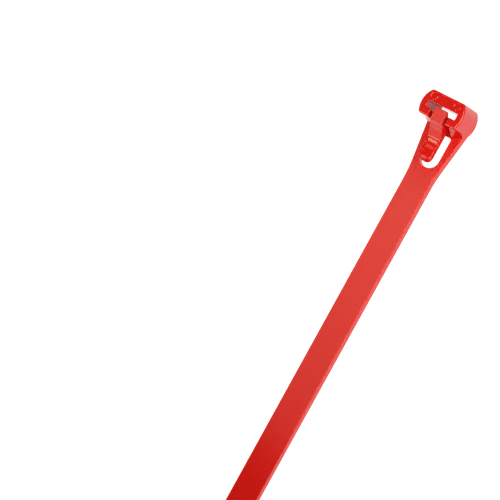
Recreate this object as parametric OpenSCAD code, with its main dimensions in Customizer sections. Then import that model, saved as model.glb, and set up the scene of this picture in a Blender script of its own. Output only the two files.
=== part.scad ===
// Reusable cable tie with a release lever, moulded in one piece of nylon.
// X runs from the head to the tail, Y across the strap, Z from the bundle side to the outside.
// The origin is the middle of the slot that the tail goes through, on the bundle side.
// The tail comes up through the slot, and the pawl on the strap's side of it holds the teeth.

/* [Strap] */
// Length over all, from the back of the head to the tip of the tail
overall_l = 200; // [120:1:370]
// Width of the strap
strap_w = 7.6; // [6.6:0.1:9]
// Thickness of the strap
strap_t = 1.45; // [1.3:0.05:1.8]
// Width of the flared root where it leaves the head
root_w = 11.4; // [10.6:0.1:12.4]
// Distance from the head at which the flare would run out into the strap
flare_l = 12.5; // [11:0.5:20]
// Radius that blends the flare into the parallel strap
flare_blend_r = 30; // [10:1:40]

/* [Teeth] */
// Distance from one tooth of the strap to the next
tooth_pitch = 1.3; // [1.2:0.05:1.4]
// Depth of the strap's teeth
tooth_depth = 0.6; // [0.4:0.05:0.7]
// Flat left on the crest of each strap tooth
tooth_land = 0.25; // [0.1:0.05:0.4]
// Flat at the bottom of each gap between strap teeth
tooth_root = 0.15; // [0.1:0.05:0.3]
// Smooth rail along each edge of the toothed side
rail_w = 1.1; // [0.8:0.1:1.6]
// Distance from the slot to the first tooth
tooth_start = 30; // [18:1:60]

/* [Tail] */
// Length over which the tail narrows to its tip
tail_l = 16; // [10:1:25]
// Width of the tail across its tip
tip_w = 4.6; // [3.6:0.1:6]
// Corner radius of the tip
tip_r = 1.7; // [0.6:0.1:1.8]
// Thickness of the tail at its tip
tip_t = 0.85; // [0.7:0.05:1.2]
// Smooth length of the tail before it narrows
tail_smooth_l = 4; // [2:1:12]

/* [Head] */
// Height of the head above the bundle side
head_h = 7.1; // [6.7:0.1:8.5]
// Wall between the slot and the back of the head
far_wall = 2.83; // [2.4:0.05:3.4]
// Wall between the slot and the strap's side of the head
near_wall = 2; // [1.8:0.05:2.4]
// Wall at each end of the slot, at its thickest
side_wall = 1.85; // [1.5:0.05:2.6]
// Radius of the head's rounded sides, seen from above
side_r = 5; // [4.6:0.1:6]
// Radius of the head's upright corners on the strap's side
near_corner_r = 0.9; // [0.5:0.1:1.2]
// Radius of the head's upright corners at the back
far_corner_r = 0.7; // [0.4:0.1:1]
// Radius round the head's top edge
top_edge_r = 0.45; // [0.2:0.05:0.8]
// Width of the ejector pin marks on top of the back wall
pin_mark_d = 1.8; // [1.2:0.1:2]
// Depth of the ejector pin marks
pin_mark_depth = 0.08; // [0.05:0.01:0.15]
// Distance between the two ejector pin marks
pin_mark_spacing = 6.9; // [5:0.1:8]

/* [Slot and window] */
// Play of the strap in the slot, across its thickness
slot_play = 0.17; // [0.1:0.01:0.3]
// Play of the strap in the slot, at each edge
slot_side_gap = 0.7; // [0.2:0.05:0.8]
// Lead-in at the slot's mouth on the bundle side
slot_lead = 0.5; // [0.2:0.05:0.8]
// Clearance between the lever and each side of the notch in the head
notch_gap = 0.75; // [0.4:0.05:0.9]
// Clearance between the lever and each side of the window
window_gap = 0.9; // [0.6:0.05:1]
// Width of the bridge between the head and the window
bridge_l = 1.84; // [1.4:0.02:2.4]
// Clearance between the tip of the lever and the end of the window
window_tip_gap = 0.9; // [0.5:0.1:3]
// Corner radius of the window at the head's end
window_head_r = 0.5; // [0.3:0.1:1.2]
// Corner radius of the window at the tail's end
window_tail_r = 2.5; // [1:0.1:2.7]
// Reach of a buttress over the root, beside the notch
buttress_foot = 1.7; // [1.2:0.05:2.2]
// Slope of the buttresses from the root, in degrees
buttress_slope = 66; // [58:1:72]
// Turn of each buttress's foot towards the head at the root's edge, in degrees
buttress_yaw = 17; // [0:1:20]

/* [Pawl and lever] */
// Width of the lever and pawl
lever_w = 3.8; // [3.2:0.1:4.4]
// Reach of the lever's tip from the middle of the slot
lever_reach = 12.4; // [11:0.1:15]
// Height of the lever's underside
lever_z = 2.8; // [2.6:0.05:3.2]
// Height of the rim round the thumb dish
lever_rim_z = 3.95; // [3.7:0.05:4.3]
// Rise of the rim from the foot of the slope to the lip
lever_rim_rise = 0.2; // [0:0.05:0.4]
// Corner radius of the lever's tip, seen from above
lever_tip_r = 1.4; // [0.6:0.1:1.6]
// Slope of the lever's end face, as its run at the foot
lever_nose_run = 0.65; // [0.3:0.05:1]
// Slope of the lever's and pawl's sides that lets them out of the mould
mould_draft = 1; // [0:0.5:2]
// Drop of the pawl's top below the head's
pawl_drop = 0.1; // [0.05:0.05:0.4]
// How far the pawl has to be pushed back when the strap is in
pawl_bite = 0.28; // [0.15:0.01:0.35]
// Depth of the pawl's tooth, which leaves the slot clear below it
pawl_tooth_depth = 1.1; // [1:0.05:1.2]
// Flat on the crest of the pawl's tooth
pawl_tooth_land = 0.15; // [0.1:0.05:0.3]
// Thickness of the leg that bends when the lever is pressed
hinge_t = 0.8; // [0.5:0.05:1]
// Distance from the slot's near side to the leg
hinge_setback = 0.8; // [0.6:0.05:1]
// Radius of the hollow slope between the pawl and the thumb dish
scoop_r = 7.25; // [6.8:0.05:8.2]
// Distance from the middle of the slot to the lowest point of the slope's arc
scoop_x = 9.2; // [9:0.05:9.6]
// Height of the lowest point of the slope's arc
scoop_z = 3.5; // [3.3:0.05:3.7]
// Length of the thumb dish
dish_l = 4.7; // [4:0.1:5]
// Depth of the thumb dish below the rim
dish_depth = 0.42; // [0.2:0.02:0.5]
// Rim left at each side of the thumb dish
dish_rim_w = 0.45; // [0.3:0.05:0.7]
// Corner radius of the thumb dish, seen from above
dish_corner_r = 0.9; // [0.4:0.1:1.1]

/* [Hidden] */
$fn = 96;
arc_steps = 6;
// How far a cut runs past the face it goes through
past = 1;
// How far an added solid sinks into the one that carries it
sunk = 0.4;
// How far a corner's arc stands out, so that it cuts the rounded side and doesn't just touch it
corner_ease = 0.04;

slot_w = strap_w + 2 * slot_side_gap;
slot_t = strap_t + slot_play;
slot_near_x = slot_t / 2;
head_w = slot_w + 2 * side_wall;
head_far_x = -slot_t / 2 - far_wall;
head_near_x = slot_near_x + near_wall;
side_cy = head_w / 2 - side_r;
notch_w = lever_w + 2 * notch_gap;
window_w = lever_w + 2 * window_gap;
window_head_x = head_near_x + bridge_l;
window_tail_x = lever_reach + window_tip_gap;

flare_x = head_near_x + flare_l;
flare_angle = atan((root_w - strap_w) / 2 / flare_l);
tip_x = head_far_x + overall_l;
tail_x = tip_x - tail_l;
tooth_end = tail_x - tail_smooth_l;
tooth_count = floor((tooth_end - tooth_start) / tooth_pitch);

pawl_top_z = head_h - pawl_drop;
pawl_tip_x = -slot_t / 2 + strap_t - tooth_depth - pawl_bite;
hinge_x = slot_near_x + hinge_setback;

// Points on an arc about a centre, from one angle to another
function arc(c, r, a0, a1, n = arc_steps) =
    [for (i = [0:n]) let (a = a0 + (a1 - a0) * i / n) c + r * [cos(a), sin(a)]];

// A half outline above the X axis, closed by its own mirror image
function both_sides(half) =
    concat(half, [for (i = [len(half) - 1:-1:0]) [half[i][0], -half[i][1]]]);

// Half width of the straight flare at a distance along X
function flare_half(x) = strap_w / 2 + (flare_x - x) * tan(flare_angle);

// Outline of the root, the strap and the tail, seen from above
function strap_outline() =
    let (run = flare_blend_r * tan(flare_angle / 2),
         tip_c = [tip_x - tip_r, tip_w / 2 - tip_r])
    both_sides(concat(
        [[slot_near_x + near_wall / 4, flare_half(slot_near_x + near_wall / 4)]],
        arc([flare_x + run, strap_w / 2 + flare_blend_r], flare_blend_r, -90 - flare_angle, -90),
        [[tail_x, strap_w / 2]],
        arc(tip_c, tip_r, 90, 0)));

// Root, strap and tail, with the tail thinned towards its tip
module strap_blank() {
    difference() {
        linear_extrude(strap_t) polygon(strap_outline());
        rotate([90, 0, 0]) linear_extrude(strap_w + 2 * past, center = true)
            polygon([[tail_x, strap_t], [tip_x + past, tip_t - past * (strap_t - tip_t) / tail_l],
                     [tip_x + past, strap_t + past], [tail_x, strap_t + past]]);
    }
}

// Gaps between the strap's teeth: an upright face towards the head and a ramp towards the tail
module strap_teeth_cut() {
    gap = tooth_pitch - tooth_land;
    rotate([90, 0, 0]) linear_extrude(strap_w - 2 * rail_w, center = true)
        polygon(concat(
            [[tooth_start + tooth_land, -past]],
            [for (i = [0:tooth_count - 1], p = [[0, 0], [gap - tooth_root, tooth_depth],
                                               [gap, tooth_depth], [gap, 0]])
                [tooth_start + tooth_land + i * tooth_pitch + p[0], p[1]]],
            [[tooth_start + tooth_count * tooth_pitch, -past]]));
}

// Side view of the head, with its top edges rounded
module head_side_view() {
    polygon(concat(
        [[head_far_x, 0]],
        arc([head_far_x + top_edge_r, head_h - top_edge_r], top_edge_r, 180, 90),
        arc([head_near_x - top_edge_r, head_h - top_edge_r], top_edge_r, 90, 0),
        [[head_near_x, 0]]));
}

// Upright corner of the head, from its flat face round to where it meets the rounded side
function head_corner(face_x, dir, r) =
    let (cx = face_x - dir * r,
         c = [cx, side_cy + sqrt(pow(side_r - r + corner_ease, 2) - cx * cx)],
         a = atan2(c[1] - side_cy, c[0]))
    concat(arc(c, r, dir > 0 ? 0 : 180, a), [[c[0] + r * cos(a), head_w]]);

function reversed(list) = [for (i = [len(list) - 1:-1:0]) list[i]];

// The head before its slot and notch are cut
module head_blank() {
    intersection() {
        rotate([90, 0, 0]) linear_extrude(head_w + 2 * past, center = true) head_side_view();
        union() {
            for (side = [-1, 1]) translate([0, side * side_cy, 0])
                rotate_extrude() polygon(concat(
                    [[0, 0], [side_r, 0]],
                    arc([side_r - top_edge_r, head_h - top_edge_r], top_edge_r, 0, 90),
                    [[0, head_h]]));
            translate([head_far_x - sunk, -side_cy, 0])
                cube([head_near_x - head_far_x + 2 * sunk, 2 * side_cy, head_h]);
        }
        linear_extrude(head_h + past) polygon(both_sides(concat(
            head_corner(head_far_x, -1, far_corner_r),
            reversed(head_corner(head_near_x, 1, near_corner_r)))));
    }
}

// Buttress that carries one side of the head's wall down onto the root
module buttress(side) {
    foot = buttress_foot + sunk / tan(buttress_slope);
    intersection() {
        linear_extrude(head_h - top_edge_r) polygon(strap_outline());
        mirror([0, side < 0 ? 1 : 0, 0])
            translate([head_near_x, notch_w / 2, strap_t - sunk])
                rotate([90, 0, buttress_yaw]) translate([0, 0, -head_w])
                    linear_extrude(head_w + notch_gap)
                        polygon([[-near_wall, 0], [foot, 0],
                                 [foot - head_h / tan(buttress_slope), head_h], [-near_wall, head_h]]);
    }
}

// Slot for the tail, with its lead-in on the bundle side
module slot_cut() {
    translate([-slot_t / 2, -slot_w / 2, -past]) cube([slot_t, slot_w, head_h + 2 * past]);
    rotate([90, 0, 0]) linear_extrude(slot_w, center = true)
        polygon([[-slot_t / 2 - slot_lead - past, -past], [slot_t / 2 + slot_lead + past, -past],
                 [0, slot_t / 2 + slot_lead]]);
}

// Notch in the head's near wall, which the pawl and lever stand in
module notch_cut() {
    translate([0, -notch_w / 2, strap_t])
        cube([head_near_x + buttress_foot + past, notch_w, head_h]);
}

// Window under the lever
module window_cut() {
    half = window_w / 2;
    translate([0, 0, -past]) linear_extrude(head_h + past)
        polygon(both_sides(concat(
            arc([window_head_x + window_head_r, half - window_head_r], window_head_r, 180, 90),
            arc([window_tail_x - window_tail_r, half - window_tail_r], window_tail_r, 90, 0))));
}

module pin_marks() {
    for (side = [-1, 1])
        translate([-slot_t / 2 - far_wall / 2, side * pin_mark_spacing / 2, head_h - pin_mark_depth])
            cylinder(h = past, d = pin_mark_d);
}

// Side view of the pawl, its leg and the lever, before the thumb dish is cut
module lever_side_view() {
    rim_start = scoop_x - sqrt(pow(scoop_r, 2) - pow(scoop_z + scoop_r - lever_rim_z, 2));
    lip_x = lever_reach - lever_nose_run;
    difference() {
        polygon([[hinge_x + hinge_t, strap_t - sunk], [hinge_x, strap_t - sunk],
                 [hinge_x, lever_z],
                 [pawl_tip_x + pawl_tooth_depth, pawl_top_z - pawl_tooth_land - pawl_tooth_depth],
                 [pawl_tip_x, pawl_top_z - pawl_tooth_land], [pawl_tip_x, pawl_top_z],
                 [lip_x, pawl_top_z], [lip_x, lever_rim_z + lever_rim_rise],
                 [lever_reach, lever_z], [hinge_x + hinge_t + sunk / 2, lever_z],
                 [hinge_x + hinge_t, lever_z - sunk / 2]]);
        intersection() {
            union() {
                translate([scoop_x, scoop_z + scoop_r]) circle(scoop_r);
                translate([scoop_x, lever_z]) square([lever_reach, head_h]);
            }
            polygon([[rim_start - past, lever_rim_z], [rim_start, lever_rim_z],
                     [lip_x, lever_rim_z + lever_rim_rise], [lever_reach, lever_rim_z + lever_rim_rise],
                     [lever_reach, head_h + past], [hinge_x, head_h + past], [hinge_x, lever_rim_z]]);
        }
    }
}

// Section of the pawl and lever across the strap, wider at the foot by the mould's draft
module lever_section() {
    lean = (pawl_top_z - lever_z) * tan(mould_draft);
    polygon([[-lever_w / 2, 0], [lever_w / 2, 0], [lever_w / 2, lever_z],
             [lever_w / 2 - lean, pawl_top_z], [lever_w / 2 - lean, head_h],
             [lean - lever_w / 2, head_h], [lean - lever_w / 2, pawl_top_z],
             [-lever_w / 2, lever_z]]);
}

// Thumb dish: a hollow along the lever, with rounded corners at the lip
module dish_cut() {
    hollow_r = (pow(dish_l / 2, 2) + pow(dish_depth, 2)) / (2 * dish_depth);
    end_x = lever_reach - lever_nose_run - dish_rim_w / 2;
    half = lever_w / 2 - dish_rim_w;
    intersection() {
        translate([end_x + dish_rim_w / 2 - dish_l / 2, 0,
                   lever_rim_z + lever_rim_rise / 2 - dish_depth + hollow_r])
            rotate([90, 0, 0]) cylinder(h = lever_w, r = hollow_r, center = true);
        linear_extrude(head_h) polygon(both_sides(concat(
            [[hinge_x, half]],
            arc([end_x - dish_corner_r, half - dish_corner_r], dish_corner_r, 90, 0))));
    }
}

// Pawl, leg and lever, which bend together as the lever is pressed
module pawl_and_lever() {
    difference() {
        intersection() {
            rotate([90, 0, 0]) linear_extrude(lever_w + past, center = true) lever_side_view();
            rotate([90, 0, 90]) linear_extrude(2 * lever_reach, center = true) lever_section();
            linear_extrude(head_h) polygon(both_sides(concat(
                [[-slot_t, lever_w / 2 + past], [lever_reach - lever_tip_r, lever_w / 2 + past]],
                arc([lever_reach - lever_tip_r, lever_w / 2 - lever_tip_r], lever_tip_r, 90, 0))));
        }
        dish_cut();
    }
}

module cable_tie() {
    color("#d8322b") union() {
        difference() {
            union() {
                strap_blank();
                head_blank();
                for (side = [-1, 1]) buttress(side);
            }
            strap_teeth_cut();
            slot_cut();
            notch_cut();
            window_cut();
            pin_marks();
        }
        pawl_and_lever();
    }
}

cable_tie();
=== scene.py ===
"""Reusable cable tie, moulded in one piece of red nylon.

Every piece is modelled at one unit to the millimetre, in the CAD's frame: X from the head
to the tail, Y across the strap, Z from the bundle side to the outside, and the origin in the
middle of the slot. The finished moulding is brought to metres once, at the end.
"""

import math
from types import SimpleNamespace

import bmesh
import bpy
from bpy.props import FloatProperty, PointerProperty, StringProperty
from mathutils import Matrix, Vector


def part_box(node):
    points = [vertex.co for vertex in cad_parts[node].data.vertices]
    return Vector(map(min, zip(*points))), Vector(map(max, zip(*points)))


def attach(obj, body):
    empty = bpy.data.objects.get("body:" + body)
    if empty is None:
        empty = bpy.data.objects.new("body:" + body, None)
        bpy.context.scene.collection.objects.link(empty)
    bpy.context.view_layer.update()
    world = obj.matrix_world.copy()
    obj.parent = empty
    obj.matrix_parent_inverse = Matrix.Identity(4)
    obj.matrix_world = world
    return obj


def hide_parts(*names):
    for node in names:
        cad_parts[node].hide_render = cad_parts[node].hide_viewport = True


bl_info = {
    "name": "Reusable cable tie",
    "version": (1, 0, 0),
    "blender": (4, 5, 0),
    "location": "View3D > Sidebar > Cable tie",
    "description": "Models a toothed strap, a slotted head and a release lever in one moulding",
    "category": "Add Mesh",
}

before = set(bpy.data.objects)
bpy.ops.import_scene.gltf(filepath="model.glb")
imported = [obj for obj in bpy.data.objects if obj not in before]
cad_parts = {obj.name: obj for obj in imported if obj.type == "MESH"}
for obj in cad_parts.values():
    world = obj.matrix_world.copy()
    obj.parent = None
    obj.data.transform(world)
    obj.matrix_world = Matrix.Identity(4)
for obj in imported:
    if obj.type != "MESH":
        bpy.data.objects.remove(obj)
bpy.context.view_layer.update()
MM = 0.001
NODE = "cable_tie"
BODY = "root"
CAD_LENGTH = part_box(NODE)[1].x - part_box(NODE)[0].x

# In millimetres: how far a cutter runs past the face it goes through, how far a solid sinks
# into the one that carries it, how close to a place an edge or corner counts as on it, how
# far away it is clear of it, and how close two halves' corners merge
PAST, SUNK, NEAR, CLEAR, MERGE = 1.0, 0.4, 0.01, 1.0, 0.0005
# Bends in degrees: from which an outer edge is sharp or blunt, up to which an edge is flat,
# and below which it is an inner corner
SHARP, BLUNT, FLAT, INNER = 45, 30, 1, -10
# How close to Z an edge counts as upright, as the cosine of the angle between them
PARALLEL = 0.999
# Flats on the roundings of fine edges, the strap's edges, small corners, the dish's corners,
# wide corners, the window's wide corners and the head's sides
FINE_STEPS, EDGE_STEPS, CORNER_STEPS, DISH_STEPS = 3, 4, 5, 6
WIDE_STEPS, WINDOW_STEPS, SIDE_STEPS = 10, 12, 20
# Sides of the round cutters: the hollows along the lever, the pin marks and their grooves
HOLLOW_SIDES, PIN_SIDES, GROOVE_SIDES = 160, 40, 20
# Height of a groove's middle over the head's top, as a share of the groove's radius
GROOVE_LIFT = 0.5
# Edges that bend less than this are shaded smooth
SMOOTH_ANGLE = math.radians(35)

# In metres: half the floor's width and the height of the rim round it. The floor lies a hair
# below the tie, so that no two faces share a plane
FLOOR_RADIUS, FLOOR_RIM, FLOOR_Z = 3.0, 0.6, -0.05 * MM
RIM_SIDES = 96
# Where the camera stands, where it looks, which way is up and how wide it sees
CAMERA_PLACE = Vector((0.02896, 0.28900, 0.46708))
CAMERA_SIGHT = Vector((0.0393, -0.5676, -0.8224))
CAMERA_UP = Vector((-0.8757, -0.4159, 0.2452))
CAMERA_ANGLE = math.radians(12.335)
CAMERA_REACH = (0.01, 20)
# The place on the head that the lights aim at, and the lights' tint
HEAD_PLACE = Vector((0.0075, 0, 0.004))
WARM = (1, 1, 0.78)
# Name, place, aim and size of the lights that light the tie itself
LAMPS = (("key", (0.02, 0.06, 0.13), (0.02, 0, 0), (0.16, 0.14)),
         ("fill", (0.3, 0.2, 0.35), HEAD_PLACE, (0.14, 0.14)),
         ("side", (0, 0.6, 0.3), HEAD_PLACE, (0.2, 0.2)))
# The strips' glow from the head's end on, the bank's first edge, and the strips' place and size
BANK_SHARES = (1.5, 1.25, 1.07, 0.93, 0.8, 0.65)
BANK_START, BANK_STRIP, BANK_WIDTH = -0.018, 0.0362, 0.35
BANK_Y, BANK_Z = -0.557, 0.9
# From which tilt to which, in degrees towards the tail, a panel is mirrored, and its glow
TAIL_PANELS = ((-24, -16, 2.5), (13, 24, 5.0), (24, 46, 1.1))
# The same for faces tilted towards +Y, such as rounded edges and the pin marks' grooves
SIDE_PANELS = ((-15, -8, 4.0), (8, 13, 5.0))
# A panel's size: so many metres for each radian of tilt, and so many the other way
TAIL_SPREAD, SIDE_SPREAD, PANEL_WIDTH = 1.7, 2, 0.16


# ---------------------------------------------------------------- sizes and colours

def length(name, value_mm, description):
    """A length that a user may change, kept in metres."""
    return FloatProperty(name=name, description=description, default=value_mm * MM,
                         min=0.0, precision=5, unit="LENGTH")


class TieStrapSizes(bpy.types.PropertyGroup):
    """Sizes of the strap and its teeth."""
    overall: FloatProperty(name="Overall length", default=CAD_LENGTH, precision=4, unit="LENGTH",
                           description="From the back of the head to the tip of the tail")
    width: length("Strap width", 7.6, "Width of the parallel strap")
    thickness: length("Strap thickness", 1.45, "Thickness of the strap and root")
    root_width: length("Root width", 11.4, "Width of the root where it leaves the head")
    flare: length("Flare length", 12.5, "Distance from the head at which the flare ends")
    flare_blend: length("Flare blend", 30.0, "Radius between the flare and the strap")
    pitch: length("Tooth pitch", 1.3, "Distance from one tooth to the next")
    depth: length("Tooth depth", 0.6, "Depth of the strap's teeth")
    land: length("Tooth land", 0.25, "Flat on the crest of a strap tooth")
    gullet: length("Tooth gullet", 0.15, "Flat at the bottom between two strap teeth")
    rail: length("Rail width", 1.1, "Smooth rail along each edge of the toothed side")
    tooth_start: length("First tooth", 30.0, "Distance from the slot to the first tooth")
    tail: length("Tail length", 16.0, "Length over which the tail narrows")
    tail_smooth: length("Smooth tail", 4.0, "Length without teeth before the tail narrows")
    tip_width: length("Tip width", 4.6, "Width across the tip")
    tip_radius: length("Tip radius", 1.7, "Corner radius of the tip")
    tip_thickness: length("Tip thickness", 0.85, "Thickness at the tip")


class TieHeadSizes(bpy.types.PropertyGroup):
    """Sizes of the head, its slot, its notch and the window."""
    height: length("Head height", 7.1, "Height above the bundle side")
    far_wall: length("Back wall", 2.83, "Wall between the slot and the back of the head")
    near_wall: length("Front wall", 2.0, "Wall between the slot and the strap's side")
    side_wall: length("Side wall", 1.84, "Wall at each end of the slot, at its thickest")
    side_radius: length("Side radius", 5.0, "Radius of the rounded sides, seen from above")
    near_corner: length("Front corner", 0.9, "Radius of the upright corners at the front")
    far_corner: length("Back corner", 0.7, "Radius of the upright corners at the back")
    top_edge: length("Top edge", 0.45, "Radius round the head's top edge")
    slot_play: length("Slot play", 0.17, "Play of the strap across its thickness")
    slot_side: length("Slot side play", 0.7, "Play of the strap at each edge")
    slot_lead: length("Slot lead-in", 0.5, "Chamfer at the slot's mouth on the bundle side")
    notch_play: length("Notch play", 0.75, "Clearance beside the lever in the notch")
    window_play: length("Window play", 0.9, "Clearance beside the lever in the window")
    bridge: length("Bridge", 1.9, "Root left between the head and the window")
    window_tip: length("Window tip play", 0.9, "Clearance from the lever's tip to the window")
    window_head_corner: length("Window head corner", 0.5, "Corner radius at the head's end")
    window_tail_corner: length("Window tail corner", 2.5, "Corner radius at the tail's end")
    buttress: length("Buttress foot", 1.62, "Reach of a buttress over the root")
    buttress_slope: FloatProperty(name="Buttress slope", default=math.radians(66),
                                  subtype="ANGLE", description="Slope from the root")
    buttress_yaw: FloatProperty(name="Buttress turn", default=math.radians(17),
                                subtype="ANGLE", description="Turn of the foot at the edge")
    pin_mark: length("Pin mark", 1.8, "Width of an ejector pin mark")
    pin_mark_depth: length("Pin mark depth", 0.08, "Depth of an ejector pin mark")
    pin_spacing: length("Pin spacing", 6.9, "Distance between the two pin marks")
    pin_ring: length("Pin ring", 0.26, "Radius of the round groove at a pin mark's edge")


class TieLeverSizes(bpy.types.PropertyGroup):
    """Sizes of the pawl, its leg and the release lever."""
    width: length("Lever width", 3.8, "Width of the lever and pawl")
    reach: length("Lever reach", 12.4, "From the middle of the slot to the lever's tip")
    underside: length("Underside height", 2.8, "Height of the lever's underside")
    rim: length("Rim height", 3.95, "Height of the rim at the foot of the slope")
    rim_rise: length("Rim rise", 0.2, "Rise of the rim to the lip")
    tip_radius: length("Tip radius", 1.4, "Corner radius of the tip, seen from above")
    nose_run: length("Nose run", 0.65, "Slope of the end face, as its run at the foot")
    draft: FloatProperty(name="Draft", default=math.radians(1), subtype="ANGLE",
                         description="Slope of the sides that lets them out of the mould")
    pawl_drop: length("Pawl drop", 0.1, "Drop of the pawl's top below the head's")
    pawl_lean: FloatProperty(name="Pawl lean", default=math.radians(2), subtype="ANGLE",
                             description="Fall of the pawl's top towards the lever")
    pawl_tip: length("Pawl tip", 0.24, "Reach of the pawl past the middle of the slot")
    pawl_depth: length("Pawl tooth depth", 1.1, "Depth of the pawl's tooth")
    pawl_land: length("Pawl tooth land", 0.15, "Flat on the crest of the pawl's tooth")
    leg: length("Leg thickness", 0.8, "Thickness of the leg that bends")
    leg_setback: length("Leg setback", 0.8, "From the slot's near side to the leg")
    scoop_radius: length("Scoop radius", 7.25, "Radius of the hollow slope")
    scoop_x: length("Scoop place", 9.2, "From the slot's middle to the arc's lowest point")
    scoop_z: length("Scoop height", 3.5, "Height of the arc's lowest point")
    dish: length("Dish length", 5.3, "Length of the thumb dish")
    dish_depth: length("Dish depth", 0.52, "Depth of the thumb dish")
    dish_rim: length("Dish rim", 0.45, "Rim at each side of the thumb dish")
    dish_corner: length("Dish corner", 0.9, "Corner radius of the thumb dish")


class TieFinish(bpy.types.PropertyGroup):
    """Edge radii left by the mould, and the nylon's colour and surface."""
    strap_edge: length("Strap edge", 0.2, "Radius along the strap's outer edges")
    fine_edge: length("Fine edge", 0.13, "Radius on the rims, the lever and the underside")
    nylon: StringProperty(name="Nylon", default="#CB1410", description="Colour, sRGB hex")
    roughness: FloatProperty(name="Roughness", default=0.11, min=0.0, max=1.0,
                             subtype="FACTOR", description="Roughness of the satin skin")
    depth: FloatProperty(name="Depth", default=0.6, min=0.0, max=1.0, subtype="FACTOR",
                         description="Share of the light that scatters inside the nylon")
    scatter: length("Scatter", 1.2, "How far red light travels inside the nylon")


class TieStage(bpy.types.PropertyGroup):
    """Floor, lights and camera."""
    floor: StringProperty(name="Floor", default="#FFFFFF", description="Colour, sRGB hex")
    floor_shade: FloatProperty(name="Floor shade", default=0.3, min=0.0, max=1.0,
                               subtype="FACTOR", description="Share of light sent back")
    floor_glow: FloatProperty(name="Floor glow", default=1.05, min=0.0,
                              description="Light that comes up through the floor")
    rim_glow: FloatProperty(name="Rim glow", default=0.4, min=0.0,
                            description="Light that comes through the floor's far rim")
    surround: FloatProperty(name="Surround", default=0.02, min=0.0,
                            description="Strength of the even light all round")
    key: FloatProperty(name="Key light", default=4.4, min=0.0,
                       description="Glow of the light over the head")
    fill: FloatProperty(name="Fill light", default=0.2, min=0.0,
                        description="Glow of the light over the tail")
    side: FloatProperty(name="Side light", default=1.05, min=0.0,
                        description="Glow of the light far on the camera's side")
    bank: FloatProperty(name="Bank", default=1.0, min=0.0,
                        description="Glow of the strips that the strap reflects")
    panels: FloatProperty(name="Panels", default=1.0, min=0.0,
                          description="Glow of the panels that tilted faces reflect")


# ---------------------------------------------------------------- modelling helpers

def sizes(name):
    """The values of one group, such as the strap's, with its lengths in millimetres."""
    group = getattr(bpy.context.scene, "tie_" + name)
    values = {}
    for key, kind in group.bl_rna.properties.items():
        value = getattr(group, key)
        is_length = getattr(kind, "unit", "NONE") == "LENGTH"
        values[key] = round(value / MM, 4) if is_length else value
    return SimpleNamespace(**values)


def places():
    """Places that several pieces share, in millimetres, and the lean of the flare's sides."""
    s, h, v = sizes("strap"), sizes("head"), sizes("lever")
    slot_half = (s.thickness + h.slot_play) / 2
    return SimpleNamespace(
        slot_half=slot_half,
        # The head's faces towards the strap and away from it
        near_x=slot_half + h.near_wall,
        far_x=-slot_half - h.far_wall,
        # Start of the root inside the front wall, and the tip of the tail
        root_x=slot_half + h.near_wall / 4,
        tip_x=s.overall - slot_half - h.far_wall,
        notch_half=v.width / 2 + h.notch_play,
        lean=(s.root_width - s.width) / 2 / s.flare)


def close_edit():
    """Leaves edit mode and deselects everything."""
    if bpy.context.object and bpy.context.object.mode != "OBJECT":
        bpy.ops.object.mode_set(mode="OBJECT")
    bpy.ops.object.select_all(action="DESELECT")


def take(piece):
    """Makes one piece the only selected one, and the active one."""
    close_edit()
    bpy.context.view_layer.objects.active = piece
    piece.select_set(True)


def settle(name):
    """Names the new primitive and puts its place into its mesh."""
    piece = bpy.context.object
    piece.name = piece.data.name = name
    bpy.ops.object.transform_apply(location=True, rotation=True, scale=True)
    return piece


def add_block(name, low, high):
    """Adds a block from its lowest corner to its highest."""
    close_edit()
    middle = [(a + b) / 2 for a, b in zip(low, high)]
    span = [b - a for a, b in zip(low, high)]
    bpy.ops.mesh.primitive_cube_add(size=1, location=middle, scale=span)
    return settle(name)


def add_cylinder(name, middle, radius, depth, vertices, turn=(0, 0, 0)):
    """Adds a cylinder about its middle."""
    close_edit()
    bpy.ops.mesh.primitive_cylinder_add(vertices=vertices, radius=radius, depth=depth,
                                        location=middle, rotation=turn)
    return settle(name)


def select(piece, kind, wanted):
    """Opens a piece in edit mode and selects the corners or edges that pass a test."""
    take(piece)
    bpy.ops.object.mode_set(mode="EDIT")
    bpy.ops.mesh.select_mode(type=kind)
    bpy.ops.mesh.select_all(action="DESELECT")
    mesh = bmesh.from_edit_mesh(piece.data)
    elements = mesh.verts if kind == "VERT" else mesh.edges
    found = [element for element in elements if wanted(element)]
    if not found:
        raise RuntimeError("nothing to select on " + piece.name)
    for element in found:
        element.select_set(True)
    mesh.select_flush_mode()
    bmesh.update_edit_mesh(piece.data)


def middle_of(edge):
    """Middle of an edge."""
    return (edge.verts[0].co + edge.verts[1].co) / 2


def bend_of(edge):
    """Angle between an edge's faces in degrees, above zero on an outer corner."""
    return math.degrees(edge.calc_face_angle_signed(0))


def is_upright(edge):
    """Whether an edge runs along Z."""
    return abs((edge.verts[1].co - edge.verts[0].co).normalized().z) > PARALLEL


def divide(piece, point, normal):
    """Marks a line across a piece's faces where a plane meets them."""
    select(piece, "VERT", lambda v: True)
    bpy.ops.mesh.bisect(plane_co=point, plane_no=normal)
    close_edit()


def cut_off(piece, point, normal):
    """Cuts a piece by a plane, drops the side that the normal points to and closes it."""
    select(piece, "VERT", lambda v: True)
    bpy.ops.mesh.bisect(plane_co=point, plane_no=Vector(normal).normalized(), use_fill=True,
                        clear_outer=True)
    close_edit()


def shift(piece, wanted, by):
    """Moves the corners that pass a test."""
    select(piece, "VERT", wanted)
    bpy.ops.transform.translate(value=by)
    close_edit()


def round_edges(piece, radius, steps, wanted):
    """Rounds the edges that pass a test."""
    select(piece, "EDGE", wanted)
    bpy.ops.mesh.bevel(offset=radius, segments=steps, affect="EDGES", clamp_overlap=False)
    close_edit()


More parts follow.
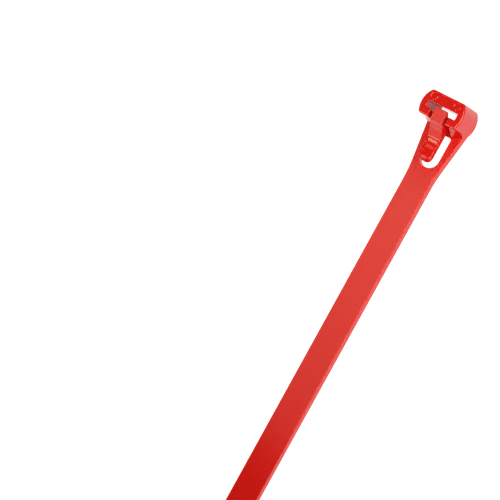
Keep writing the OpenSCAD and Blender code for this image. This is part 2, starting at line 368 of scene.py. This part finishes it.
def apply_modifier(piece, kind, **settings):
    """Adds a modifier with its settings and applies it."""
    take(piece)
    bpy.ops.object.modifier_add(type=kind)
    modifier = piece.modifiers[-1]
    for name, value in settings.items():
        setattr(modifier, name, value)
    bpy.ops.object.modifier_apply(modifier=modifier.name)


def combine(piece, others, operation):
    """Joins other pieces to a piece, or cuts them out of it, and uses them up."""
    for other in others:
        apply_modifier(piece, "BOOLEAN", object=other, operation=operation, solver="EXACT")
        bpy.data.objects.remove(other)


def mirrored(piece):
    """Completes a piece that was modelled on one side of the strap's middle."""
    apply_modifier(piece, "MIRROR", use_axis=(False, True, False), merge_threshold=MERGE)
    take(piece)
    bpy.ops.object.mode_set(mode="EDIT")
    bpy.ops.mesh.select_all(action="SELECT")
    bpy.ops.mesh.normals_make_consistent(inside=False)
    close_edit()


# ---------------------------------------------------------------- strap

def model_strap():
    """Root, strap and tail: a block pulled wide at the root and narrow at the tip."""
    s, edge, at = sizes("strap"), sizes("finish"), places()
    half = s.width / 2
    flare_x = at.near_x + s.flare
    tail_x = at.tip_x - s.tail
    root_half = half + (flare_x - at.root_x) * at.lean

    strap = add_block("strap", (at.root_x, -half, 0), (at.tip_x, half, s.thickness))
    divide(strap, (0, 0, 0), (0, 1, 0))
    divide(strap, (flare_x, 0, 0), (1, 0, 0))
    divide(strap, (tail_x, 0, 0), (1, 0, 0))
    for side in (-1, 1):
        shift(strap, lambda p: p.co.x < at.root_x + NEAR and p.co.y * side > 0,
              (0, side * (root_half - half), 0))
        shift(strap, lambda p: p.co.x > at.tip_x - NEAR and p.co.y * side > 0,
              (0, side * (s.tip_width - s.width) / 2, 0))
    # The blend's offset along each side is the radius times the tangent of half the turn
    blend = s.flare_blend * math.tan(math.atan(at.lean) / 2)
    for x, offset in ((flare_x, blend), (at.tip_x, s.tip_radius)):
        round_edges(strap, offset, WIDE_STEPS, lambda e: is_upright(e)
                    and abs(middle_of(e).x - x) < NEAR and abs(middle_of(e).y) > CLEAR)
    select(strap, "VERT", lambda p: p.co.z > s.thickness - NEAR and p.co.x > tail_x + NEAR)
    mesh = bmesh.from_edit_mesh(strap.data)
    for vertex in mesh.verts:
        if vertex.select:
            vertex.co.z -= (s.thickness - s.tip_thickness) * (vertex.co.x - tail_x) / s.tail
    bmesh.update_edit_mesh(strap.data)
    close_edit()
    round_edges(strap, edge.strap_edge, EDGE_STEPS, lambda e: bend_of(e) > SHARP
                and min(p.co.z for p in e.verts) > s.tip_thickness - NEAR)
    round_edges(strap, edge.fine_edge, FINE_STEPS, lambda e: bend_of(e) > SHARP
                and max(p.co.z for p in e.verts) < NEAR)
    return strap


def model_tooth_gaps():
    """Gaps between the strap's teeth: one modelled, the rest copied along the strap."""
    s, at = sizes("strap"), places()
    tooth_end = at.tip_x - s.tail - s.tail_smooth
    count = math.floor((tooth_end - s.tooth_start) / s.pitch)
    start = s.tooth_start + s.land
    end = s.tooth_start + s.pitch
    half = s.width / 2 - s.rail
    gap = add_block("tooth_gap", (start, -half, -PAST), (end, half, s.depth))
    divide(gap, (end - s.gullet, 0, 0), (1, 0, 0))
    shift(gap, lambda p: p.co.x < start + NEAR and p.co.z > 0, (0, 0, -s.depth))
    apply_modifier(gap, "ARRAY", count=count, use_relative_offset=False,
                   use_constant_offset=True, constant_offset_displace=(s.pitch, 0, 0))
    return gap


# ---------------------------------------------------------------- head

def model_head():
    """Head: a wall pulled round one side by spinning its edge, then mirrored and capped."""
    s, h, edge, at = sizes("strap"), sizes("head"), sizes("finish"), places()
    side_y = (s.width + 2 * (h.slot_side + h.side_wall)) / 2 - h.side_radius

    def corner(face_x, radius):
        """Middle of a corner's arc, and the angle at which it runs into the side's arc."""
        x = face_x - math.copysign(radius, face_x)
        run = math.sqrt((h.side_radius - radius) ** 2 - x * x)
        return Vector((x, side_y + run, 0)), math.atan2(run, x)

    near_middle, near_turn = corner(at.near_x, h.near_corner)
    far_middle, far_turn = corner(at.far_x, h.far_corner)
    wall_middle = (at.near_x, near_middle.y / 2, h.height / 2)
    close_edit()
    bpy.ops.mesh.primitive_plane_add(size=1, rotation=(0, math.pi / 2, 0),
                                     location=wall_middle)
    head = settle("head")
    take(head)
    bpy.ops.object.mode_set(mode="EDIT")
    bpy.ops.mesh.select_all(action="SELECT")
    bpy.ops.transform.resize(value=(1, near_middle.y, h.height), center_override=wall_middle)
    select(head, "EDGE", lambda e: is_upright(e) and middle_of(e).y > NEAR)
    for middle, turn, steps in ((near_middle, near_turn, CORNER_STEPS),
                                (Vector((0, side_y, 0)), far_turn - near_turn, SIDE_STEPS),
                                (far_middle, math.pi - far_turn, CORNER_STEPS)):
        bpy.ops.mesh.spin(steps=steps, angle=turn, center=middle, axis=(0, 0, -1))
    bpy.ops.mesh.extrude_region_move(TRANSFORM_OT_translate={"value": (0, -far_middle.y, 0)})
    close_edit()
    mirrored(head)
    for z in (0, h.height):
        select(head, "EDGE", lambda e: e.is_boundary and abs(middle_of(e).z - z) < NEAR)
        bpy.ops.mesh.edge_face_add()
    bpy.ops.mesh.select_all(action="SELECT")
    bpy.ops.mesh.normals_make_consistent(inside=False)
    close_edit()
    divide(head, (0, 0, 0), (0, 1, 0))
    round_edges(head, h.top_edge, CORNER_STEPS, lambda e: middle_of(e).z > h.height - NEAR
                and bend_of(e) > SHARP)
    round_edges(head, edge.fine_edge, FINE_STEPS, lambda e: middle_of(e).z < NEAR
                and bend_of(e) > SHARP and middle_of(e).x < at.slot_half)
    return head


def model_buttresses():
    """Buttresses that carry the head's front wall down onto the root, beside the notch."""
    s, h, at = sizes("strap"), sizes("head"), places()
    piece = add_block("buttress", (at.root_x, at.notch_half, s.thickness - SUNK),
                      (at.near_x + 2 * h.buttress, s.root_width, h.height - h.top_edge))
    cut_off(piece, (at.near_x, s.root_width / 2, 0), (at.lean, 1, 0))
    slope = Vector((math.sin(h.buttress_slope), 0, math.cos(h.buttress_slope)))
    slope.rotate(Matrix.Rotation(h.buttress_yaw, 3, "Z"))
    cut_off(piece, (at.near_x + h.buttress, at.notch_half, s.thickness), slope)
    mirrored(piece)
    return piece


def cut_head(blank):
    """Cuts the slot, the notch and the window."""
    s, h, at = sizes("strap"), sizes("head"), places()
    slot_end = s.width / 2 + h.slot_side
    top = h.height + PAST
    slot = add_block("slot", (-at.slot_half, -slot_end, -PAST), (at.slot_half, slot_end, top))
    notch = add_block("notch", (0, -at.notch_half, s.thickness),
                      (at.near_x + h.buttress + PAST, at.notch_half, top))
    combine(blank, [slot, notch, model_window()], "DIFFERENCE")


def sink_pin_marks(blank):
    """Sinks the two marks that the ejector pins leave on the back wall, with grooved edges."""
    h, at = sizes("head"), places()
    x = -at.slot_half - h.far_wall / 2
    z = h.height - h.pin_mark_depth + PAST / 2
    for side in (-1, 1):
        y = side * h.pin_spacing / 2
        mark = add_cylinder("pin_mark", (x, y, z), h.pin_mark / 2, PAST, PIN_SIDES)
        close_edit()
        bpy.ops.mesh.primitive_torus_add(
            major_segments=PIN_SIDES, minor_segments=GROOVE_SIDES,
            major_radius=h.pin_mark / 2, minor_radius=h.pin_ring,
            location=(x, y, h.height + GROOVE_LIFT * h.pin_ring))
        combine(mark, [settle("pin_ring")], "UNION")
        combine(blank, [mark], "DIFFERENCE")


def model_window():
    """Window under the lever, with small corners at the head and wide ones at the tail."""
    h, v, at = sizes("head"), sizes("lever"), places()
    half = v.width / 2 + h.window_play
    head_x = at.near_x + h.bridge
    tail_x = v.reach + h.window_tip
    window = add_block("window", (head_x, -half, -PAST), (tail_x, half, h.height / 2))
    for x, radius, steps in ((head_x, h.window_head_corner, CORNER_STEPS),
                             (tail_x, h.window_tail_corner, WINDOW_STEPS)):
        round_edges(window, radius, steps, lambda e: is_upright(e)
                    and abs(middle_of(e).x - x) < NEAR)
    return window


# ---------------------------------------------------------------- pawl and lever

def model_lever():
    """Pawl, leg and lever: a block hollowed by the slope and cut back under the pawl."""
    s, h, v, at = sizes("strap"), sizes("head"), sizes("lever"), places()
    fine = sizes("finish").fine_edge
    leg_x = at.slot_half + v.leg_setback
    top = h.height - v.pawl_drop
    half = v.width / 2
    lip_x, lip_z = v.reach - v.nose_run, v.rim + v.rim_rise
    axis_z = v.scoop_z + v.scoop_radius
    rim_start = v.scoop_x - math.sqrt(v.scoop_radius ** 2 - (axis_z - v.rim) ** 2)

    lever = add_block("lever", (-v.pawl_tip, -half, v.underside), (v.reach, half, top))
    divide(lever, (0, 0, 0), (0, 1, 0))
    select(lever, "VERT", lambda p: p.co.z > top - NEAR)
    bpy.ops.transform.resize(value=(1, 1 - (top - v.underside) * math.tan(v.draft) / half, 1),
                             center_override=(0, 0, top))
    close_edit()
    shift(lever, lambda p: p.co.z > top - NEAR and p.co.x > 0,
          (0, 0, -(v.reach + v.pawl_tip) * math.tan(v.pawl_lean)))
    cut_off(lever, (lip_x, 0, lip_z), (lip_z - v.underside, 0, v.nose_run))
    round_edges(lever, v.tip_radius, WIDE_STEPS, lambda e: bend_of(e) > SHARP
                and middle_of(e).x > v.reach / 2
                and v.underside + CLEAR < middle_of(e).z < top - CLEAR)

    scoop = add_cylinder("scoop", (v.scoop_x, 0, axis_z), v.scoop_radius, v.width + 2 * PAST,
                         HOLLOW_SIDES, (math.pi / 2, 0, 0))
    rise = v.rim_rise / (lip_x - rim_start)
    cut_off(scoop, (rim_start, 0, v.rim), (rise, 0, -1))
    combine(lever, [scoop], "DIFFERENCE")
    # The edges beside the leg stay sharp, because the leg joins there
    round_edges(lever, fine, FINE_STEPS, lambda e: bend_of(e) > BLUNT
                and middle_of(e).x > at.slot_half
                and not (middle_of(e).x < leg_x + v.leg + CLEAR / 2 and middle_of(e).z < v.rim))

    # The cutter's faces: the tooth's slanting underside, then the pawl's face down to the leg
    face_x, face_z = v.pawl_depth - v.pawl_tip, top - v.pawl_land - v.pawl_depth
    low_z = v.underside - PAST
    gap = add_block("pawl_gap", (-v.pawl_tip - PAST, -half - PAST, low_z),
                    (face_x, half + PAST, face_z))
    shift(gap, lambda p: p.co.x < -v.pawl_tip and p.co.z > low_z + NEAR,
          (0, 0, v.pawl_depth + PAST))
    shift(gap, lambda p: p.co.x > -v.pawl_tip and p.co.z < low_z + NEAR,
          ((leg_x - face_x) * (face_z - low_z) / (face_z - v.underside), 0, 0))
    combine(lever, [gap, model_dish()], "DIFFERENCE")

    leg = add_block("leg", (leg_x, -half, s.thickness - SUNK),
                    (leg_x + v.leg, half, v.underside + SUNK))
    combine(lever, [leg], "UNION")
    return lever


def model_dish():
    """Thumb dish: a round hollow along the lever, kept inside the rim's rounded outline."""
    v = sizes("lever")
    radius = ((v.dish / 2) ** 2 + v.dish_depth ** 2) / (2 * v.dish_depth)
    end_x = v.reach - v.nose_run - v.dish_rim / 2
    half = v.width / 2 - v.dish_rim
    outline = add_block("dish", (v.reach / 2, -half, v.underside),
                        (end_x, half, v.rim + 2 * PAST))
    round_edges(outline, v.dish_corner, DISH_STEPS, lambda e: is_upright(e)
                and middle_of(e).x > end_x - NEAR)
    middle = (end_x + v.dish_rim / 2 - v.dish / 2, 0,
              v.rim + v.rim_rise / 2 - v.dish_depth + radius)
    hollow = add_cylinder("hollow", middle, radius, v.width, HOLLOW_SIDES, (math.pi / 2, 0, 0))
    combine(outline, [hollow], "INTERSECT")
    return outline


# ---------------------------------------------------------------- moulding

def round_body(tie_body):
    """Rounds what the cuts left: the slot's mouth, the rims, the notch and the window."""
    s, h, v, at = sizes("strap"), sizes("head"), sizes("lever"), places()
    fine = sizes("finish").fine_edge
    # The bevels done so far leave edges up to this far off their place
    near = 2 * NEAR
    foot_x = at.near_x + h.buttress + 0.2
    # A buttress's lines end this far out, before they run into the head's rounded outline
    foot_y, wall_y = s.root_width / 2 - 0.7, s.root_width / 2 - 0.8

    def on_rim(edge):
        """Edges round the slot and notch, and where a buttress meets the wall and the root."""
        mid, bend = middle_of(edge), bend_of(edge)
        by_notch = abs(abs(mid.y) - at.notch_half) < near
        on_root = abs(mid.z - s.thickness) < near
        if bend > BLUNT:
            return mid.z > h.height - near or (by_notch and mid.z > s.thickness + near
                                               and at.slot_half < mid.x < foot_x)
        if bend < INNER:
            return ((by_notch and on_root and 0 < mid.x < foot_x)
                    or (on_root and at.near_x < mid.x < foot_x and abs(mid.y) < foot_y)
                    or (abs(mid.x - at.near_x) < near and s.thickness < mid.z < h.height
                        and abs(mid.y) < wall_y))
        return False

    def on_window(edge):
        """Edges round the window, on both faces of the root."""
        mid = middle_of(edge)
        return (bend_of(edge) > BLUNT and at.near_x + CLEAR < mid.x < v.reach + 2 * CLEAR
                and abs(mid.y) < v.width / 2 + h.window_play + near
                and (mid.z < near or abs(mid.z - s.thickness) < near))

    # The notch's floor and the root's top lie in one plane, so the line between them can go
    select(tie_body, "EDGE", lambda e: abs(bend_of(e)) < FLAT
           and abs(middle_of(e).z - s.thickness) < near
           and abs(abs(middle_of(e).y) - at.notch_half) < near)
    bpy.ops.mesh.dissolve_edges()
    close_edit()
    round_edges(tie_body, h.slot_lead, 1, lambda e: middle_of(e).z < near
                and bend_of(e) > SHARP and abs(abs(middle_of(e).x) - at.slot_half) < near)
    round_edges(tie_body, fine, FINE_STEPS, on_rim)
    # A fifth finer, so that the window's edges stay clear of a buttress's foot
    round_edges(tie_body, 0.8 * fine, FINE_STEPS, on_window)


def model_moulding():
    """Joins strap, head and lever into one moulding and rounds its edges."""
    tie = model_strap()
    combine(tie, [model_head(), model_buttresses()], "UNION")
    cut_head(tie)
    combine(tie, [model_tooth_gaps()], "DIFFERENCE")
    round_body(tie)
    combine(tie, [model_lever()], "UNION")
    sink_pin_marks(tie)
    tie.name = tie.data.name = "moulding"
    take(tie)
    bpy.ops.object.shade_smooth_by_angle(angle=SMOOTH_ANGLE)
    # The flat faces keep their own direction up to their edges; only then are they divided
    apply_modifier(tie, "WEIGHTED_NORMAL", weight=100, keep_sharp=True)
    apply_modifier(tie, "TRIANGULATE", min_vertices=5, keep_custom_normals=True)
    take(tie)
    bpy.ops.transform.resize(value=(MM, MM, MM), center_override=(0, 0, 0))
    bpy.ops.object.transform_apply(location=True, rotation=True, scale=True)
    return tie


# ---------------------------------------------------------------- material

def linear(colour):
    """Linear RGBA of an sRGB hex colour."""
    channels = [int(colour.lstrip("#")[i:i + 2], 16) / 255 for i in (0, 2, 4)]
    return [c / 12.92 if c <= 0.04045 else ((c + 0.055) / 1.055) ** 2.4 for c in channels] + [1]


def add_node(material, kind, settings=None, inputs=None):
    """Adds a node with its settings, and sets or links its inputs."""
    node = material.node_tree.nodes.new(kind)
    for name, value in (settings or {}).items():
        setattr(node, name, value)
    for name, value in (inputs or {}).items():
        if isinstance(value, bpy.types.NodeSocket):
            material.node_tree.links.new(value, node.inputs[name])
        else:
            node.inputs[name].default_value = value
    return node


def new_material(name):
    """A material without any nodes yet."""
    material = bpy.data.materials.new(name)
    material.use_nodes = True
    material.node_tree.nodes.clear()
    return material


def per(size_mm):
    """Scale that gives a pattern features of this size on Object coordinates."""
    return 1 / (size_mm * MM)


def moulded_nylon():
    """Nylon 6/6, injection moulded and dyed red.

    The skin is satin: it takes the mould's fine spark-eroded texture and softens what it
    mirrors. Light goes a millimetre or so into the nylon and comes out a deeper red, and faint
    clouds of flow lie along the strap.
    """
    finish = bpy.context.scene.tie_finish
    red = linear(finish.nylon)
    nylon = new_material("moulded_nylon")
    place = add_node(nylon, "ShaderNodeTexCoord")
    # Flow of the melt: clouds 25 mm long and 4 mm wide along the strap
    stretched = add_node(nylon, "ShaderNodeMapping", inputs={
        "Vector": place.outputs["Object"], "Scale": (per(25), per(4), per(4))})
    clouds = add_node(nylon, "ShaderNodeTexNoise", inputs={
        "Vector": stretched.outputs["Vector"], "Scale": 1.0, "Detail": 2.0})
    colour = add_node(nylon, "ShaderNodeMix", {"data_type": "RGBA"}, {
        "Factor": clouds.outputs["Fac"]})
    # The clouds are a few parts in a hundred darker and lighter than the nylon's colour
    for side, share in (("A", 0.94), ("B", 1.05)):
        colour.inputs[side].default_value = [min(c * share, 1) for c in red[:3]] + [1]
    # Mould texture: grains of 0.125 mm, coarser than the real ones so that they show
    grain = add_node(nylon, "ShaderNodeTexNoise", inputs={
        "Vector": place.outputs["Object"], "Scale": per(0.125), "Detail": 2.0})
    # Waviness of the skin: 3.3 mm long and 6 micrometres high, which is 0.3 of 0.02 mm
    waves = add_node(nylon, "ShaderNodeTexNoise", inputs={
        "Vector": place.outputs["Object"], "Scale": per(10 / 3), "Detail": 1.0})
    fine_bump = add_node(nylon, "ShaderNodeBump", inputs={
        "Height": grain.outputs["Fac"], "Strength": 0.15, "Distance": 0.005 * MM})
    bump = add_node(nylon, "ShaderNodeBump", inputs={
        "Height": waves.outputs["Fac"], "Strength": 0.3, "Distance": 0.02 * MM,
        "Normal": fine_bump.outputs["Normal"]})
    # The skin is a little smoother or rougher from one wave to the next
    gloss = add_node(nylon, "ShaderNodeMapRange", inputs={
        "Value": waves.outputs["Fac"], "To Min": finish.roughness - 0.02,
        "To Max": finish.roughness + 0.03})
    skin = add_node(nylon, "ShaderNodeBsdfPrincipled", inputs={
        "Base Color": colour.outputs["Result"], "Roughness": gloss.outputs["Result"],
        "IOR": 1.53, "Normal": bump.outputs["Normal"], "Subsurface Weight": finish.depth,
        "Subsurface Radius": (1.0, 0.1, 0.08), "Subsurface Scale": finish.scatter})
    add_node(nylon, "ShaderNodeOutputMaterial", inputs={"Surface": skin.outputs["BSDF"]})
    return nylon


# ---------------------------------------------------------------- stage

def light_table(name, glow):
    """Opal acrylic lit from below, as a photographer's light table: pale, without gloss."""
    stage = bpy.context.scene.tie_stage
    opal = new_material(name)
    colour = linear(stage.floor)
    skin = add_node(opal, "ShaderNodeBsdfPrincipled", inputs={
        "Base Color": [c * stage.floor_shade for c in colour[:3]] + [1], "Roughness": 0.9,
        "Specular IOR Level": 0.0,
        "Emission Color": colour, "Emission Strength": glow})
    add_node(opal, "ShaderNodeOutputMaterial", inputs={"Surface": skin.outputs["BSDF"]})
    return opal


def add_floor():
    """Plain pale floor that the tie lies on, with a low, dimmer rim far round it."""
    stage = bpy.context.scene.tie_stage
    close_edit()
    bpy.ops.mesh.primitive_plane_add(size=2 * FLOOR_RADIUS, location=(0, 0, FLOOR_Z))
    floor = settle("floor")
    floor.data.materials.append(light_table("opal_acrylic", stage.floor_glow))
    close_edit()
    bpy.ops.mesh.primitive_cylinder_add(
        vertices=RIM_SIDES, radius=FLOOR_RADIUS, depth=FLOOR_RIM, end_fill_type="NOTHING",
        location=(0, 0, FLOOR_RIM / 2))
    rim = settle("floor_rim")
    rim.data.materials.append(light_table("dim_opal_acrylic", stage.rim_glow))


def add_camera():
    """Camera at the photograph's viewing angle, above the tie and on its +Y side."""
    close_edit()
    sight = CAMERA_SIGHT.normalized()
    right = sight.cross(CAMERA_UP).normalized()
    up = right.cross(sight)
    turn = Matrix((right, up, -sight)).transposed()
    bpy.ops.object.camera_add(location=CAMERA_PLACE, rotation=turn.to_euler())
    camera = bpy.context.object
    camera.name = "camera"
    camera.data.angle = CAMERA_ANGLE
    camera.data.clip_start, camera.data.clip_end = CAMERA_REACH
    bpy.context.scene.camera = camera


def add_light(name, place, aim, size, glow):
    """Soft rectangular light turned to its aim, with its first side level with the XZ plane."""
    bpy.ops.object.light_add(type="AREA", location=place)
    light = bpy.context.object
    light.name = name
    back = (Vector(place) - Vector(aim)).normalized()
    across = Vector((0, 1, 0)).cross(back).normalized()
    light.rotation_euler = Matrix((across, back.cross(across), back)).transposed().to_euler()
    light.data.shape = "RECTANGLE"
    light.data.size, light.data.size_y = size
    light.data.color = WARM
    light.visible_camera = False
    # An area light of one watt to the square metre glows at one part in pi
    light.data.energy = glow * math.pi * size[0] * size[1]


def mirror_way(face):
    """Way in which a face on the head, given by its normal, mirrors the camera's sight."""
    return (HEAD_PLACE - CAMERA_PLACE).normalized().reflect(Vector(face))


def light_stage():
    """Dim surround, lamps from the camera's side, and what the gloss mirrors."""
    stage = bpy.context.scene.tie_stage
    world = bpy.data.worlds.new("surround")
    bpy.context.scene.world = world
    world.use_nodes = True
    surround = world.node_tree.nodes["Background"]
    surround.inputs["Color"].default_value = (1, 1, 1, 1)
    surround.inputs["Strength"].default_value = stage.surround
    for name, place, aim, size in LAMPS:
        add_light(name + "_light", place, aim, size, getattr(stage, name))
    # The strap's top mirrors a bank of strips, brightest at the head's end
    for number, share in enumerate(BANK_SHARES):
        x = BANK_START + BANK_STRIP * (number + 0.5)
        add_light("bank_%d" % number, (x, BANK_Y, BANK_Z), (x, BANK_Y, 0),
                  (BANK_STRIP, BANK_WIDTH), share * stage.bank)
    for low, high, share in TAIL_PANELS:
        tilt = math.radians(low + high) / 2
        way = mirror_way((math.sin(tilt), 0, math.cos(tilt)))
        add_light("tail_%d" % low, HEAD_PLACE + way, HEAD_PLACE,
                  (TAIL_SPREAD * math.radians(high - low), PANEL_WIDTH), share * stage.panels)
    for low, high, share in SIDE_PANELS:
        tilt = math.radians(low + high) / 2
        way = mirror_way((0, math.sin(tilt), math.cos(tilt)))
        add_light("side_%d" % low, HEAD_PLACE + way, HEAD_PLACE,
                  (PANEL_WIDTH, SIDE_SPREAD * math.radians(high - low)), share * stage.panels)
    bpy.context.scene.view_settings.view_transform = "Standard"


# ---------------------------------------------------------------- add-on

class TIE_OT_moulding(bpy.types.Operator):
    """Models the cable tie in one moulding and lets it stand for the CAD part"""
    bl_idname = "tie.moulding"
    bl_label = "Moulding"

    def execute(self, context):
        tie = model_moulding()
        tie.data.materials.append(moulded_nylon())
        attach(tie, BODY)
        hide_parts(NODE)
        return {"FINISHED"}


class TIE_OT_stage(bpy.types.Operator):
    """Adds the floor, the lights and the camera"""
    bl_idname = "tie.stage"
    bl_label = "Stage"

    def execute(self, context):
        add_floor()
        light_stage()
        add_camera()
        return {"FINISHED"}


class TIE_PT_panel(bpy.types.Panel):
    """Lists the operators and the sizes"""
    bl_label = "Cable tie"
    bl_idname = "TIE_PT_panel"
    bl_space_type = "VIEW_3D"
    bl_region_type = "UI"
    bl_category = "Cable tie"

    def draw(self, context):
        for operator in OPERATORS:
            self.layout.operator(operator.bl_idname)
        for name in GROUPS:
            box = self.layout.box()
            group = getattr(context.scene, name)
            for value in group.bl_rna.properties.keys():
                if value not in ("rna_type", "name"):
                    box.prop(group, value)


GROUPS = {"tie_strap": TieStrapSizes, "tie_head": TieHeadSizes, "tie_lever": TieLeverSizes,
          "tie_finish": TieFinish, "tie_stage": TieStage}
OPERATORS = (TIE_OT_moulding, TIE_OT_stage)


def register():
    for kind in (*GROUPS.values(), *OPERATORS, TIE_PT_panel):
        bpy.utils.register_class(kind)
    for name, kind in GROUPS.items():
        setattr(bpy.types.Scene, name, PointerProperty(type=kind))


def unregister():
    for name in GROUPS:
        delattr(bpy.types.Scene, name)
    for kind in (TIE_PT_panel, *OPERATORS, *GROUPS.values()):
        bpy.utils.unregister_class(kind)


def main():
    register()
    bpy.ops.tie.stage()
    bpy.ops.tie.moulding()


if __name__ == "__main__":
    main()
